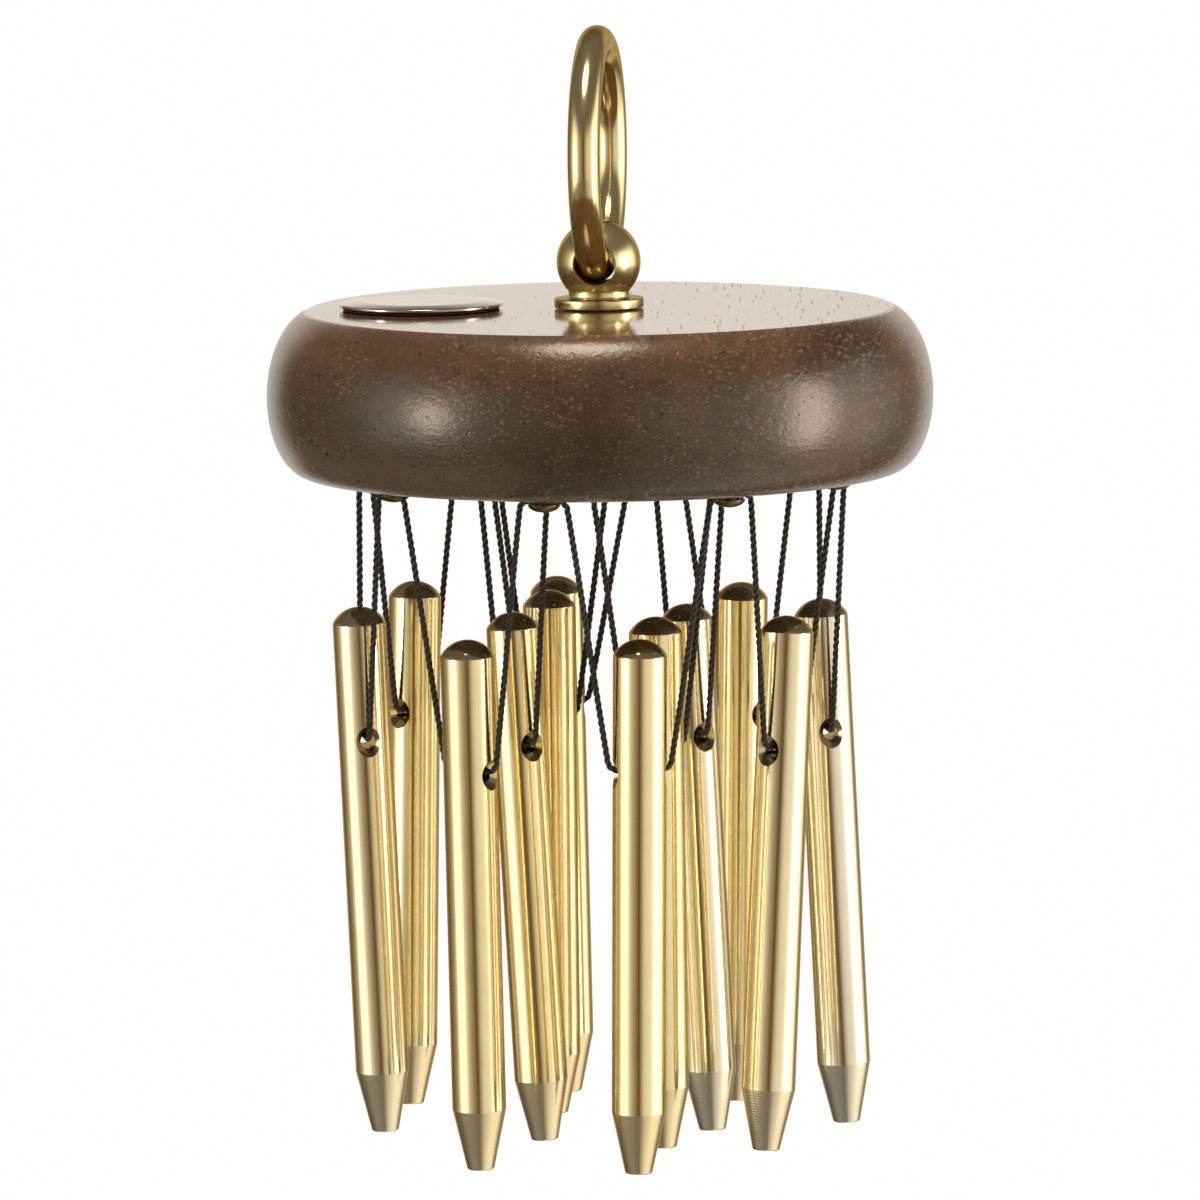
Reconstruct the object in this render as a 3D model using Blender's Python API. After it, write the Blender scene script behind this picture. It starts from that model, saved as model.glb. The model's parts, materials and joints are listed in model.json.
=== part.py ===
"""A peg chime: a turned wooden disc hung from a brass ring, with twelve brass pegs
strung under it on thin black cord. Metres, +Z up, origin at the inner top of the
ring, where a hook carries the chime. The front of the chime faces -Y.
"""

from collections import namedtuple
from math import acos, asin, cos, pi, radians, sin, sqrt

import bmesh
import bpy
from mathutils import Matrix, Vector
from mathutils.geometry import interpolate_bezier

# General fits
FIT_GAP = 0.0002
MERGE_DISTANCE = 0.000001
SMOOTH_ANGLE = radians(40)

# Hanging ring
RING_WIRE_DIAMETER = 0.0048
RING_CENTRE_RADIUS = 0.0168
RING_YAW = radians(7.1)
RING_SEGMENTS = 44
RING_WIRE_SIDES = 10

# Eye post: a ball with a cross hole on a short neck, a flange and a stud
BALL_DIAMETER = 0.0126
BALL_CENTRE_HEIGHT = 0.0070
RING_RUNNING_GAP = 0.00028
NECK_DIAMETER = 0.0091
FLANGE_DIAMETER = 0.0134
FLANGE_HEIGHT = 0.0016
STUD_DIAMETER = 0.0040
STUD_PROJECTION = 0.0005
EYE_SEGMENTS = 24
BALL_ROUND_STEPS = 9
BALL_HOLE_SIDES = 16

# Nut and washer in the counterbore below the disc
WASHER_DIAMETER = 0.0090
WASHER_THICKNESS = 0.0008
NUT_ACROSS_FLATS = 0.0070
NUT_HEIGHT = 0.0032
NUT_BORE_SIDES = 16
COUNTERBORE_DIAMETER = 0.0120
COUNTERBORE_DEPTH = 0.0056

# Wooden disc
DISC_RADIUS = 0.0500
DISC_THICKNESS = 0.0245
DISC_TOP_FLAT_RADIUS = 0.0439
DISC_BOTTOM_FLAT_RADIUS = 0.0440
DISC_BELLY_DROP = 0.0130
DISC_ARRIS_SLOPE = radians(12)
DISC_SEGMENTS = 56
DISC_ROUND_STEPS = 5

# Badge stuck on the top face
BADGE_DIAMETER = 0.0246
BADGE_THICKNESS = 0.0008
BADGE_BEVEL = 0.0003
BADGE_RIM_MARGIN = 0.0110
BADGE_BACK_OFFSET = 0.0010
PAD_DIAMETER = 0.0236
PAD_THICKNESS = 0.0002
BADGE_SEGMENTS = 32

# Cord
CORD_DIAMETER = 0.0008
CORD_STEP = 3 * CORD_DIAMETER
CORD_BEND_RADIUS = 2 * CORD_DIAMETER
CORD_END_RUN = CORD_DIAMETER
CORD_MOUTH_DEPTH = 0.0008
CORD_BEVEL_RESOLUTION = 2

# Round-head screws that clamp the cord under the disc
SCREW_SHANK_DIAMETER = 0.0024
SCREW_LENGTH = 0.0120
SCREW_POINT_LENGTH = 0.0025
SCREW_HEAD_DIAMETER = 0.0048
SCREW_HEAD_HEIGHT = 0.0012
SCREW_SEGMENTS = 10
SCREW_HEAD_STEPS = 3
PILOT_SIDES = 10
CLAMP_REACH = 0.0006
OUTER_SCREW_INSET = 0.0139
INNER_SCREW_RADIUS = 0.0190

# Pegs
PEG_DIAMETER = 0.0080
PEG_LENGTH = 0.0800
PEG_DOME_HEIGHT = 0.0024
PEG_CONE_LENGTH = 0.0092
PEG_TIP_DIAMETER = 0.0040
PEG_TIP_CHAMFER = 0.0003
PEG_HOLE_DEPTH = 0.0200
PEG_HOLE_DIAMETER = 0.0022
PEG_COUNTERSINK_DIAMETER = 0.0046
PEG_HOLE_SIDES = 12
PEG_SEGMENTS = 16
PEG_DOME_STEPS = 3

# Two rings of pegs, each hung between screws half a pitch to either side
HOLE_DROP = 0.0403
PegRing = namedtuple("PegRing", "name count first_angle screw_radius hang")

# How a peg hangs off its nominal place: outwards, sideways and down in hang steps,
# then how far its tip leans outwards and sideways in degrees. Sideways is anticlockwise from above.
HANG_STEP = 0.0010
Hang = namedtuple("Hang", "out side down lean_out lean_side")
OUTER_HANG = (
    Hang(-1.0, 0.3, 0.0, 2.5, 0.5),
    Hang(0.0, -0.3, 0.0, 0.0, 1.5),
    Hang(0.5, 1.2, -0.5, 1.5, -1.0),
    Hang(0.5, 0.0, -1.5, 0.0, 2.0),
    Hang(1.0, -0.8, -0.8, -2.5, -2.0),
    Hang(-0.3, 0.8, 1.5, -3.0, -1.2),
    Hang(0.3, -0.3, 1.0, -1.5, -0.5),
    Hang(-1.4, -1.3, -0.5, -1.0, -3.5),
)
INNER_HANG = (
    Hang(-0.2, -0.7, 0.8, 1.0, -3.0),
    Hang(0.5, 0.2, -0.8, 0.0, 0.0),
    Hang(-0.5, 0.4, 0.0, -2.5, 1.5),
    Hang(0.4, 0.2, 0.3, 0.5, 0.0),
)
PEG_RINGS = (
    PegRing("outer", 8, radians(9), DISC_RADIUS - OUTER_SCREW_INSET, OUTER_HANG),
    PegRing("inner", 4, radians(30), INNER_SCREW_RADIUS, INNER_HANG),
)

# Heights that follow from the sizes above
CORD_RADIUS = CORD_DIAMETER / 2
PEG_RADIUS = PEG_DIAMETER / 2
WIRE_RADIUS = RING_WIRE_DIAMETER / 2
BALL_RADIUS = BALL_DIAMETER / 2
RING_CENTRE_Z = WIRE_RADIUS - RING_CENTRE_RADIUS
RING_SAG = RING_CENTRE_RADIUS - sqrt(RING_CENTRE_RADIUS**2 - BALL_RADIUS**2 + WIRE_RADIUS**2)
BALL_HOLE_RADIUS = WIRE_RADIUS + RING_SAG / 2 + RING_RUNNING_GAP
BALL_Z = RING_CENTRE_Z - RING_CENTRE_RADIUS + RING_SAG / 2
DISC_TOP_Z = BALL_Z - BALL_CENTRE_HEIGHT
UNDERSIDE_Z = DISC_TOP_Z - DISC_THICKNESS
CORD_Z = UNDERSIDE_Z - FIT_GAP - CORD_RADIUS
HEAD_SEAT_Z = CORD_Z - CORD_RADIUS - FIT_GAP
SHANK_RADIUS = SCREW_SHANK_DIAMETER / 2
CORD_WRAP_RADIUS = SHANK_RADIUS + FIT_GAP + CORD_RADIUS
PEG_HOLE_INNER = PEG_HOLE_DIAMETER / 2 * cos(pi / PEG_HOLE_SIDES)
CORD_SEAT = PEG_HOLE_INNER - CORD_RADIUS - FIT_GAP
RING_AXIS = Vector((sin(RING_YAW), cos(RING_YAW), 0))
UP = Vector((0, 0, 1))


def clear_scene():
    """Remove whatever the scene holds."""
    for thing in list(bpy.data.objects):
        bpy.data.objects.remove(thing, do_unlink=True)


def finish(name, colour, roughness, metallic):
    """A Principled material."""
    made = bpy.data.materials.new(name)
    made.use_nodes = True
    shader = made.node_tree.nodes["Principled BSDF"]
    shader.inputs["Base Color"].default_value = (*colour, 1)
    shader.inputs["Roughness"].default_value = roughness
    shader.inputs["Metallic"].default_value = metallic
    made.diffuse_color = (*colour, 1)
    return made


def add_object(name, data, material, place=None):
    """Put a mesh or a curve in the scene with its material and place."""
    made = bpy.data.objects.new(name, data)
    bpy.context.scene.collection.objects.link(made)
    if material:
        data.materials.clear()
        data.materials.append(material)
    made.matrix_world = place or Matrix()
    return made


def attach(child, parent):
    """Parent an object and leave it where it is."""
    bpy.context.view_layer.update()
    child.parent = parent
    child.matrix_parent_inverse = parent.matrix_world.inverted()


def add_pivot(name, place):
    """An empty on a joint's axis."""
    made = bpy.data.objects.new(name, None)
    made.empty_display_size = BALL_RADIUS
    made.location = place
    bpy.context.scene.collection.objects.link(made)
    return made


def shade(mesh):
    """Smooth shading with the real edges kept sharp."""
    mesh.shade_smooth()
    mesh.set_sharp_from_angle(angle=SMOOTH_ANGLE)
    return mesh


def turned(name, profile, segments, closed=False):
    """Turn a profile of (radius, height) points about Z into a closed mesh."""
    mesh = bpy.data.meshes.new(name)
    bm = bmesh.new()
    points = [bm.verts.new((r, 0, z)) for r, z in profile]
    runs = list(zip(points, points[1:]))
    if closed:
        runs.append((points[-1], points[0]))
    edges = [bm.edges.new(run) for run in runs]
    bmesh.ops.spin(
        bm, geom=points + edges, cent=(0, 0, 0), axis=UP, angle=2 * pi, steps=segments, use_merge=True
    )
    bmesh.ops.remove_doubles(bm, verts=bm.verts, dist=MERGE_DISTANCE)
    bmesh.ops.recalc_face_normals(bm, faces=bm.faces)
    bm.to_mesh(mesh)
    bm.free()
    return shade(mesh)


def cut(solid, cutters):
    """Cut away each cutter mesh, given with its place, and return the new mesh."""
    body = add_object("body", solid, None)
    tools = [add_object("cutter", mesh, None, place) for mesh, place in cutters]
    for tool in tools:
        tool.hide_render = True
        tool.display_type = "WIRE"
        step = body.modifiers.new("cut", "BOOLEAN")
        step.operation = "DIFFERENCE"
        step.solver = "EXACT"
        step.object = tool
    graph = bpy.context.evaluated_depsgraph_get()
    made = bpy.data.meshes.new_from_object(body.evaluated_get(graph))
    for thing in (body, *tools):
        bpy.data.objects.remove(thing, do_unlink=True)
    return shade(made)


def rod(radius, low, high, sides):
    """A plain round cutter between two heights."""
    return turned("rod", [(0, low), (radius, low), (radius, high), (0, high)], sides)


def around_polygon(radius, sides):
    """The corner radius of a polygon whose flats clear a circle."""
    return radius / cos(pi / sides)


def frame_of(x_axis, z_axis, origin):
    """A placement whose X and Z run along two square directions."""
    y_axis = z_axis.cross(x_axis)
    return Matrix.Translation(origin) @ Matrix((x_axis, y_axis, z_axis)).transposed().to_4x4()


def on_circle(radius, angle, z):
    """A point at a radius and an angle from +X about the chime's axis."""
    return Vector((radius * cos(angle), radius * sin(angle), z))


def make_ring(material):
    """The upright hanging ring, a round brass wire bent into a closed circle."""
    steps = [2 * pi * i / RING_WIRE_SIDES for i in range(RING_WIRE_SIDES)]
    wire = [(RING_CENTRE_RADIUS + WIRE_RADIUS * cos(a), WIRE_RADIUS * sin(a)) for a in steps]
    mesh = turned("hanging_ring", wire, RING_SEGMENTS, closed=True)
    mesh.transform(frame_of(RING_AXIS, UP.cross(RING_AXIS), Vector((0, 0, RING_CENTRE_Z))))
    return add_object("hanging_ring", mesh, material)


def make_eye_post(material):
    """Ball, neck, flange and stud in one turned piece, with the ring's hole across the ball."""
    flange_radius = FLANGE_DIAMETER / 2
    low = -acos(NECK_DIAMETER / BALL_DIAMETER)
    stud_end = COUNTERBORE_DEPTH - DISC_THICKNESS - WASHER_THICKNESS - NUT_HEIGHT
    stud_end -= 2 * FIT_GAP + STUD_PROJECTION
    profile = [(0, stud_end), (STUD_DIAMETER / 2, stud_end), (STUD_DIAMETER / 2, FIT_GAP)]
    profile += [(flange_radius, FIT_GAP), (flange_radius, FLANGE_HEIGHT)]
    profile.append((NECK_DIAMETER / 2, FLANGE_HEIGHT))
    for i in range(BALL_ROUND_STEPS):
        angle = low + (pi / 2 - low) * i / BALL_ROUND_STEPS
        profile.append((BALL_RADIUS * cos(angle), BALL_CENTRE_HEIGHT + BALL_RADIUS * sin(angle)))
    profile.append((0, BALL_CENTRE_HEIGHT + BALL_RADIUS))
    hole_place = frame_of(UP.cross(RING_AXIS), RING_AXIS, Vector((0, 0, BALL_CENTRE_HEIGHT)))
    corner = around_polygon(BALL_HOLE_RADIUS, BALL_HOLE_SIDES)
    hole = rod(corner, -BALL_DIAMETER, BALL_DIAMETER, BALL_HOLE_SIDES)
    mesh = cut(turned("eye_post", profile, EYE_SEGMENTS), [(hole, hole_place)])
    return add_object("eye_post", mesh, material, Matrix.Translation((0, 0, DISC_TOP_Z)))


def bore_radius(size):
    """A clearance hole for a round piece of this diameter."""
    return size / 2 + FIT_GAP


def make_washer(material):
    """The washer that bears on the counterbore's roof."""
    inner = around_polygon(bore_radius(STUD_DIAMETER), EYE_SEGMENTS)
    outer = WASHER_DIAMETER / 2
    profile = [(inner, 0), (outer, 0), (outer, -WASHER_THICKNESS), (inner, -WASHER_THICKNESS)]
    z = UNDERSIDE_Z + COUNTERBORE_DEPTH - FIT_GAP
    mesh = turned("eye_washer", profile, EYE_SEGMENTS, closed=True)
    return add_object("eye_washer", mesh, material, Matrix.Translation((0, 0, z)))


def make_nut(material):
    """The hexagon nut on the stud, below the washer."""
    corner = around_polygon(NUT_ACROSS_FLATS / 2, 6)
    hexagon = turned("eye_nut", [(0, 0), (corner, 0), (corner, -NUT_HEIGHT), (0, -NUT_HEIGHT)], 6)
    bore_corner = around_polygon(bore_radius(STUD_DIAMETER), NUT_BORE_SIDES)
    bore = rod(bore_corner, -2 * NUT_HEIGHT, NUT_HEIGHT, NUT_BORE_SIDES)
    z = UNDERSIDE_Z + COUNTERBORE_DEPTH - WASHER_THICKNESS - 2 * FIT_GAP
    return add_object("eye_nut", cut(hexagon, [(bore, Matrix())]), material, Matrix.Translation((0, 0, z)))


def disc_profile():
    """The disc's half section: flat top with an arris, round belly, flat bottom, bored centre."""
    bore = around_polygon(bore_radius(STUD_DIAMETER), DISC_SEGMENTS)
    pocket = COUNTERBORE_DIAMETER / 2
    roof = COUNTERBORE_DEPTH - DISC_THICKNESS
    profile = [(pocket, -DISC_THICKNESS), (pocket, roof), (bore, roof), (bore, 0)]
    for i in range(DISC_ROUND_STEPS + 1):
        angle = DISC_ARRIS_SLOPE + (pi / 2 - DISC_ARRIS_SLOPE) * i / DISC_ROUND_STEPS
        across = (sin(angle) - sin(DISC_ARRIS_SLOPE)) / (1 - sin(DISC_ARRIS_SLOPE))
        down = 1 - cos(angle) / cos(DISC_ARRIS_SLOPE)
        radius = DISC_TOP_FLAT_RADIUS + (DISC_RADIUS - DISC_TOP_FLAT_RADIUS) * across
        profile.append((radius, -DISC_BELLY_DROP * down))
    for i in range(1, DISC_ROUND_STEPS + 1):
        angle = pi / 2 * i / DISC_ROUND_STEPS
        radius = DISC_BOTTOM_FLAT_RADIUS + (DISC_RADIUS - DISC_BOTTOM_FLAT_RADIUS) * cos(angle)
        profile.append((radius, -DISC_BELLY_DROP - (DISC_THICKNESS - DISC_BELLY_DROP) * sin(angle)))
    return profile


def screw_spots():
    """Each cord screw's node suffix, peg ring, angle and place on the underside."""
    for ring in PEG_RINGS:
        pitch = 2 * pi / ring.count
        for i in range(ring.count):
            angle = ring.first_angle + (i + 0.5) * pitch
            yield f"{ring.name}_{i + 1}", ring, angle, on_circle(ring.screw_radius, angle, UNDERSIDE_Z)


def make_disc(material):
    """The turned disc with a pilot hole for each cord screw."""
    depth = SCREW_LENGTH + FIT_GAP
    corner = around_polygon(bore_radius(SCREW_SHANK_DIAMETER), PILOT_SIDES)
    pilot = rod(corner, -depth, depth, PILOT_SIDES)
    down = Vector((0, 0, -DISC_TOP_Z))
    holes = [(pilot.copy(), Matrix.Translation(spot + down)) for _, _, _, spot in screw_spots()]
    mesh = cut(turned("wooden_disc", disc_profile(), DISC_SEGMENTS, closed=True), holes)
    return add_object("wooden_disc", mesh, material, Matrix.Translation((0, 0, DISC_TOP_Z)))


def make_badge(plate_material, pad_material):
    """The bare round badge and the adhesive pad under it."""
    edge = BADGE_DIAMETER / 2
    profile = [(0, 0), (edge, 0), (edge, BADGE_THICKNESS - BADGE_BEVEL)]
    profile += [(edge - BADGE_BEVEL, BADGE_THICKNESS), (0, BADGE_THICKNESS)]
    plate = turned("badge_plate", profile, BADGE_SEGMENTS)
    pad = rod(PAD_DIAMETER / 2, 0, PAD_THICKNESS, BADGE_SEGMENTS)
    pad_place = Vector((BADGE_RIM_MARGIN + edge - DISC_RADIUS, BADGE_BACK_OFFSET, DISC_TOP_Z + FIT_GAP))
    plate_place = pad_place + (PAD_THICKNESS + FIT_GAP) * UP
    return (
        add_object("badge_pad", pad, pad_material, Matrix.Translation(pad_place)),
        add_object("badge_plate", plate, plate_material, Matrix.Translation(plate_place)),
    )


def screw_mesh():
    """A pointed screw with a low round head below, its head seat at height zero."""
    tip = SCREW_LENGTH + UNDERSIDE_Z - HEAD_SEAT_Z
    edge = SCREW_HEAD_DIAMETER / 2
    profile = [(0, tip), (SHANK_RADIUS, tip - SCREW_POINT_LENGTH), (SHANK_RADIUS, 0), (edge, 0)]
    for i in range(1, SCREW_HEAD_STEPS):
        angle = pi / 2 * i / SCREW_HEAD_STEPS
        profile.append((edge * cos(angle), -SCREW_HEAD_HEIGHT * sin(angle)))
    return turned("cord_screw", profile + [(0, -SCREW_HEAD_HEIGHT)], SCREW_SEGMENTS)


def smooth_points(route, step):
    """Points about a step apart on one smooth curve through the route's points."""
    ends = [2 * route[0] - route[1], *route, 2 * route[-1] - route[-2]]
    points = [route[0]]
    for before, start, end, after in zip(ends, ends[1:], ends[2:], ends[3:]):
        reach = (end - start).length / 3
        leave = start + reach * (end - before).normalized()
        arrive = end - reach * (after - start).normalized()
        count = max(1, round(3 * reach / step))
        points += interpolate_bezier(start, leave, arrive, end, count + 1)[1:]
    return points


def make_cord(name, route, origin, material):
    """A round tube along a smooth route, with its origin on the joint's axis."""
    curve = bpy.data.curves.new(name, "CURVE")
    curve.dimensions = "3D"
    curve.bevel_depth = CORD_RADIUS
    curve.bevel_resolution = CORD_BEVEL_RESOLUTION
    curve.use_fill_caps = True
    points = smooth_points(route, CORD_STEP)
    spline = curve.splines.new("POLY")
    spline.points.add(len(points) - 1)
    for spot, point in zip(spline.points, points):
        spot.co = (*(point - origin), 1)
    return add_object(name, curve, material, Matrix.Translation(origin))


def make_turn(name, ring, angle, spot, material):
    """The clamped bend of cord round the outer side of a screw, under its head."""
    half = pi / ring.count
    centre = Vector((spot.x, spot.y, CORD_Z))
    route = []
    for turn in (-half, 0, half):
        route.append(centre + on_circle(CORD_WRAP_RADIUS, angle + turn, 0))
    before = on_circle(1, angle - half - pi / 2, 0)
    after = on_circle(1, angle + half + pi / 2, 0)
    route = [route[0] + CLAMP_REACH * before, *route, route[-1] + CLAMP_REACH * after]
    return make_cord(name, route, centre, material)


def rounded(start, along, towards):
    """The middle and the end of a bend that leaves start along one direction for another."""
    angle = along.angle(towards)
    square = (towards - towards.dot(along) * along).normalized()
    return [
        start + CORD_BEND_RADIUS * (sin(a) * along + (1 - cos(a)) * square) for a in (angle / 2, angle)
    ]


def peg_places():
    """Each peg's suffix, loop axis point, loop axis, seat of the cord in its hole, hole axis and peg axis."""
    for ring in PEG_RINGS:
        half = pi / ring.count
        chord = ring.screw_radius * cos(half) + CORD_WRAP_RADIUS
        for i, hang in enumerate(ring.hang):
            angle = ring.first_angle + 2 * half * i
            out, side = on_circle(1, angle, 0), on_circle(1, angle + pi / 2, 0)
            middle = chord * out + CORD_Z * UP
            aside = HANG_STEP * hang.side * side
            seat = middle + HANG_STEP * hang.out * out + aside
            seat.z = UNDERSIDE_Z - HOLE_DROP - HANG_STEP * hang.down + CORD_SEAT
            lean = sin(radians(hang.lean_out)) * out + sin(radians(hang.lean_side)) * side
            peg_axis = (UP - lean).normalized()
            fall = (seat - middle - aside).normalized()
            hole_axis = (side - side.dot(peg_axis) / fall.dot(peg_axis) * fall).normalized()
            yield f"{ring.name}_{i + 1}", ring, middle, side, seat, hole_axis, peg_axis


def half_loop(middle, reach, side, seat, hole_axis):
    """The route from a screw's clamp, down one strand and into the peg's hole."""
    end = middle + reach * side
    knee = end - CORD_END_RUN * side
    mouth = seat + (PEG_RADIUS - CORD_MOUTH_DEPTH) * hole_axis
    strand = (mouth - knee).normalized()
    top = rounded(knee, -side, strand)
    bottom = rounded(mouth, hole_axis, -strand)
    return [end, knee, *top, *reversed(bottom), mouth]


def make_loop(name, ring, middle, side, seat, hole_axis, material):
    """One hanging loop of cord, from screw to screw through the peg's hole."""
    reach = ring.screw_radius * sin(pi / ring.count) - CLAMP_REACH - FIT_GAP
    left = half_loop(middle, reach, -side, seat, -hole_axis)
    right = half_loop(middle, reach, side, seat, hole_axis)
    return make_cord(name, [*left, seat, *reversed(right)], middle, material)


def peg_mesh():
    """A turned peg with a domed top and a cone foot, its origin on the cord in its cross hole."""
    apex = PEG_HOLE_DEPTH - CORD_SEAT
    foot = apex - PEG_LENGTH
    tip = PEG_TIP_DIAMETER / 2
    dome_radius = (PEG_RADIUS**2 + PEG_DOME_HEIGHT**2) / (2 * PEG_DOME_HEIGHT)
    dome_angle = asin(PEG_RADIUS / dome_radius)
    profile = [(0, apex)]
    for i in range(1, PEG_DOME_STEPS + 1):
        angle = dome_angle * i / PEG_DOME_STEPS
        profile.append((dome_radius * sin(angle), apex - dome_radius * (1 - cos(angle))))
    profile += [(PEG_RADIUS, foot + PEG_CONE_LENGTH), (tip, foot + PEG_TIP_CHAMFER)]
    profile += [(tip - PEG_TIP_CHAMFER, foot), (0, foot)]

    hole = PEG_HOLE_DIAMETER / 2
    sink = PEG_RADIUS - PEG_COUNTERSINK_DIAMETER / 2 + hole
    wide = hole + PEG_DIAMETER - sink
    spool = [(0, -PEG_DIAMETER), (wide, -PEG_DIAMETER), (hole, -sink)]
    spool += [(hole, sink), (wide, PEG_DIAMETER), (0, PEG_DIAMETER)]
    across = frame_of(UP, Vector((1, 0, 0)), Vector((0, 0, -CORD_SEAT)))
    return cut(turned("peg", profile, PEG_SEGMENTS), [(turned("spool", spool, PEG_HOLE_SIDES), across)])


def main():
    """Build the chime, each piece with its own material."""
    clear_scene()
    brass = (0.80, 0.62, 0.30)
    black = (0.015, 0.014, 0.013)
    make_ring(finish("hanging_ring", brass, 0.18, 1))
    pivot = add_pivot("disc_pivot", Vector((0, 0, BALL_Z)))
    fixed = [
        make_disc(finish("wooden_disc", (0.16, 0.07, 0.04), 0.4, 0)),
        make_eye_post(finish("eye_post", brass, 0.22, 1)),
        make_washer(finish("eye_washer", brass, 0.3, 1)),
        make_nut(finish("eye_nut", brass, 0.3, 1)),
        *make_badge(finish("badge_plate", (0.75, 0.75, 0.73), 0.15, 1), finish("badge_pad", black, 0.8, 0)),
    ]
    for suffix, ring, angle, spot in screw_spots():
        place = Matrix.Translation((spot.x, spot.y, HEAD_SEAT_Z))
        plating = finish(f"cord_screw_{suffix}", brass, 0.25, 1)
        fixed.append(add_object(f"cord_screw_{suffix}", screw_mesh(), plating, place))
        thread = finish(f"cord_turn_{suffix}", black, 0.8, 0)
        fixed.append(make_turn(f"cord_turn_{suffix}", ring, angle, spot, thread))
    for piece in fixed:
        attach(piece, pivot)

    blank = peg_mesh()
    for suffix, ring, middle, side, seat, hole_axis, peg_axis in peg_places():
        thread = finish(f"cord_loop_{suffix}", black, 0.8, 0)
        loop = make_loop(f"cord_loop_{suffix}", ring, middle, side, seat, hole_axis, thread)
        attach(loop, pivot)
        gold = finish(f"peg_{suffix}", (0.86, 0.66, 0.28), 0.12, 1)
        peg = add_object(f"peg_{suffix}", blank.copy(), gold, frame_of(hole_axis, peg_axis, seat))
        attach(peg, loop)


main()
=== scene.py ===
"""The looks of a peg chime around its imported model: a lacquered hardwood disc, a brass
ring and eye, twelve polished pegs and twisted black cord. Metres, +Z up, front at -Y.
"""

import json
from math import acos, asin, atan2, cos, pi, radians, sin, sqrt, tan

import bmesh
import bpy
from mathutils import Matrix, Vector
from mathutils.geometry import interpolate_bezier


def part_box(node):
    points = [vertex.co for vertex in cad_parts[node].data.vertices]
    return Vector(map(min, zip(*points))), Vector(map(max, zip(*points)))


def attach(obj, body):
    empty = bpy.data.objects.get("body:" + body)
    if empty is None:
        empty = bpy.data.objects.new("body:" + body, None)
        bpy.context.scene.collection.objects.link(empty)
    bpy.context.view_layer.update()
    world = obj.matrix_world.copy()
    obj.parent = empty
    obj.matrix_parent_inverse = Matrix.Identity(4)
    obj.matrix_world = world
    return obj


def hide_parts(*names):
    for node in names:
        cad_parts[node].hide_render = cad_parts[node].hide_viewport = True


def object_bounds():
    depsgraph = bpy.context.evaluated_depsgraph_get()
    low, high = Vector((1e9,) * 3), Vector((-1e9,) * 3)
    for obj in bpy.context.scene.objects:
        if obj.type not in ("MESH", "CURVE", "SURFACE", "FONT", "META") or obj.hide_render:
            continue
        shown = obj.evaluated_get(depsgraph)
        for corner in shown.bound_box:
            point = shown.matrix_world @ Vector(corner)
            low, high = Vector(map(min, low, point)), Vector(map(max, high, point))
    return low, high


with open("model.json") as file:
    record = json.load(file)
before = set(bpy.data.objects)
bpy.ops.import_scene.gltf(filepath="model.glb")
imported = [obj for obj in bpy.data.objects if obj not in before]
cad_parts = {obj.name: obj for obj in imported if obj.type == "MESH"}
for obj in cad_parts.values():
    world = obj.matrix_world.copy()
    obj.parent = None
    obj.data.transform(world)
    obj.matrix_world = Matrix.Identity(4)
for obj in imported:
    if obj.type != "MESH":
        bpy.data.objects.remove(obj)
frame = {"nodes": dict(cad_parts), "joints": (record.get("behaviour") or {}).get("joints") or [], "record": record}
CAD_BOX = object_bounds()

# Up, and millimetres in a metre
UP = Vector((0, 0, 1))
MM = 1000

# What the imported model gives
JOINTS = {joint["name"]: joint for joint in frame["joints"]}
BODY_OF = {
    node: body for body, nodes in frame["record"]["behaviour"]["bodies"].items() for node in nodes
}
RING_AXIS = Vector(JOINTS["disc_swing"]["axis"]).normalized()
DISC_LOW, DISC_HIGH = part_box("wooden_disc")
UNDERSIDE_Z = DISC_LOW.z
DISC_TOP_Z = DISC_HIGH.z

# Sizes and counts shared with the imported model
RING_COUNTS = {"outer": 8, "inner": 4}
FIT_GAP = 0.0002
RING_WIRE_RADIUS = 0.0024
RING_CENTRE_RADIUS = 0.0168
BALL_RADIUS = 0.0063
BALL_CENTRE_HEIGHT = 0.0070
RING_RUNNING_GAP = 0.00028
NECK_RADIUS = 0.00455
FLANGE_RADIUS = 0.0067
FLANGE_HEIGHT = 0.0016
STUD_RADIUS = 0.0020
WASHER_RADIUS = 0.0045
WASHER_THICKNESS = 0.0008
NUT_ACROSS_FLATS = 0.0070
NUT_HEIGHT = 0.0032
COUNTERBORE_RADIUS = 0.0060
COUNTERBORE_DEPTH = 0.0056
DISC_RADIUS = 0.0500
DISC_TOP_FLAT_RADIUS = 0.0439
DISC_BOTTOM_FLAT_RADIUS = 0.0440
DISC_BELLY_DROP = 0.0130
DISC_ARRIS_SLOPE = radians(12)
BADGE_RADIUS = 0.0123
BADGE_THICKNESS = 0.0008
PAD_RADIUS = 0.0118
PAD_THICKNESS = 0.0002
CORD_RADIUS = 0.0004
CORD_BEND_RADIUS = 0.0016
CORD_END_RUN = 0.0008
CORD_MOUTH_DEPTH = 0.0008
SHANK_RADIUS = 0.0012
SCREW_LENGTH = 0.0120
SCREW_POINT_LENGTH = 0.0025
SCREW_HEAD_RADIUS = 0.0024
SCREW_HEAD_HEIGHT = 0.0012
CLAMP_REACH = 0.0006
PEG_RADIUS = 0.0040
PEG_LENGTH = 0.0800
PEG_DOME_HEIGHT = 0.0024
PEG_CONE_LENGTH = 0.0092
PEG_TIP_RADIUS = 0.0020
PEG_HOLE_DEPTH = 0.0200
PEG_HOLE_RADIUS = 0.0011
PEG_HOLE_SIDES = 12
PEG_COUNTERSINK_RADIUS = 0.0023

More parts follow.
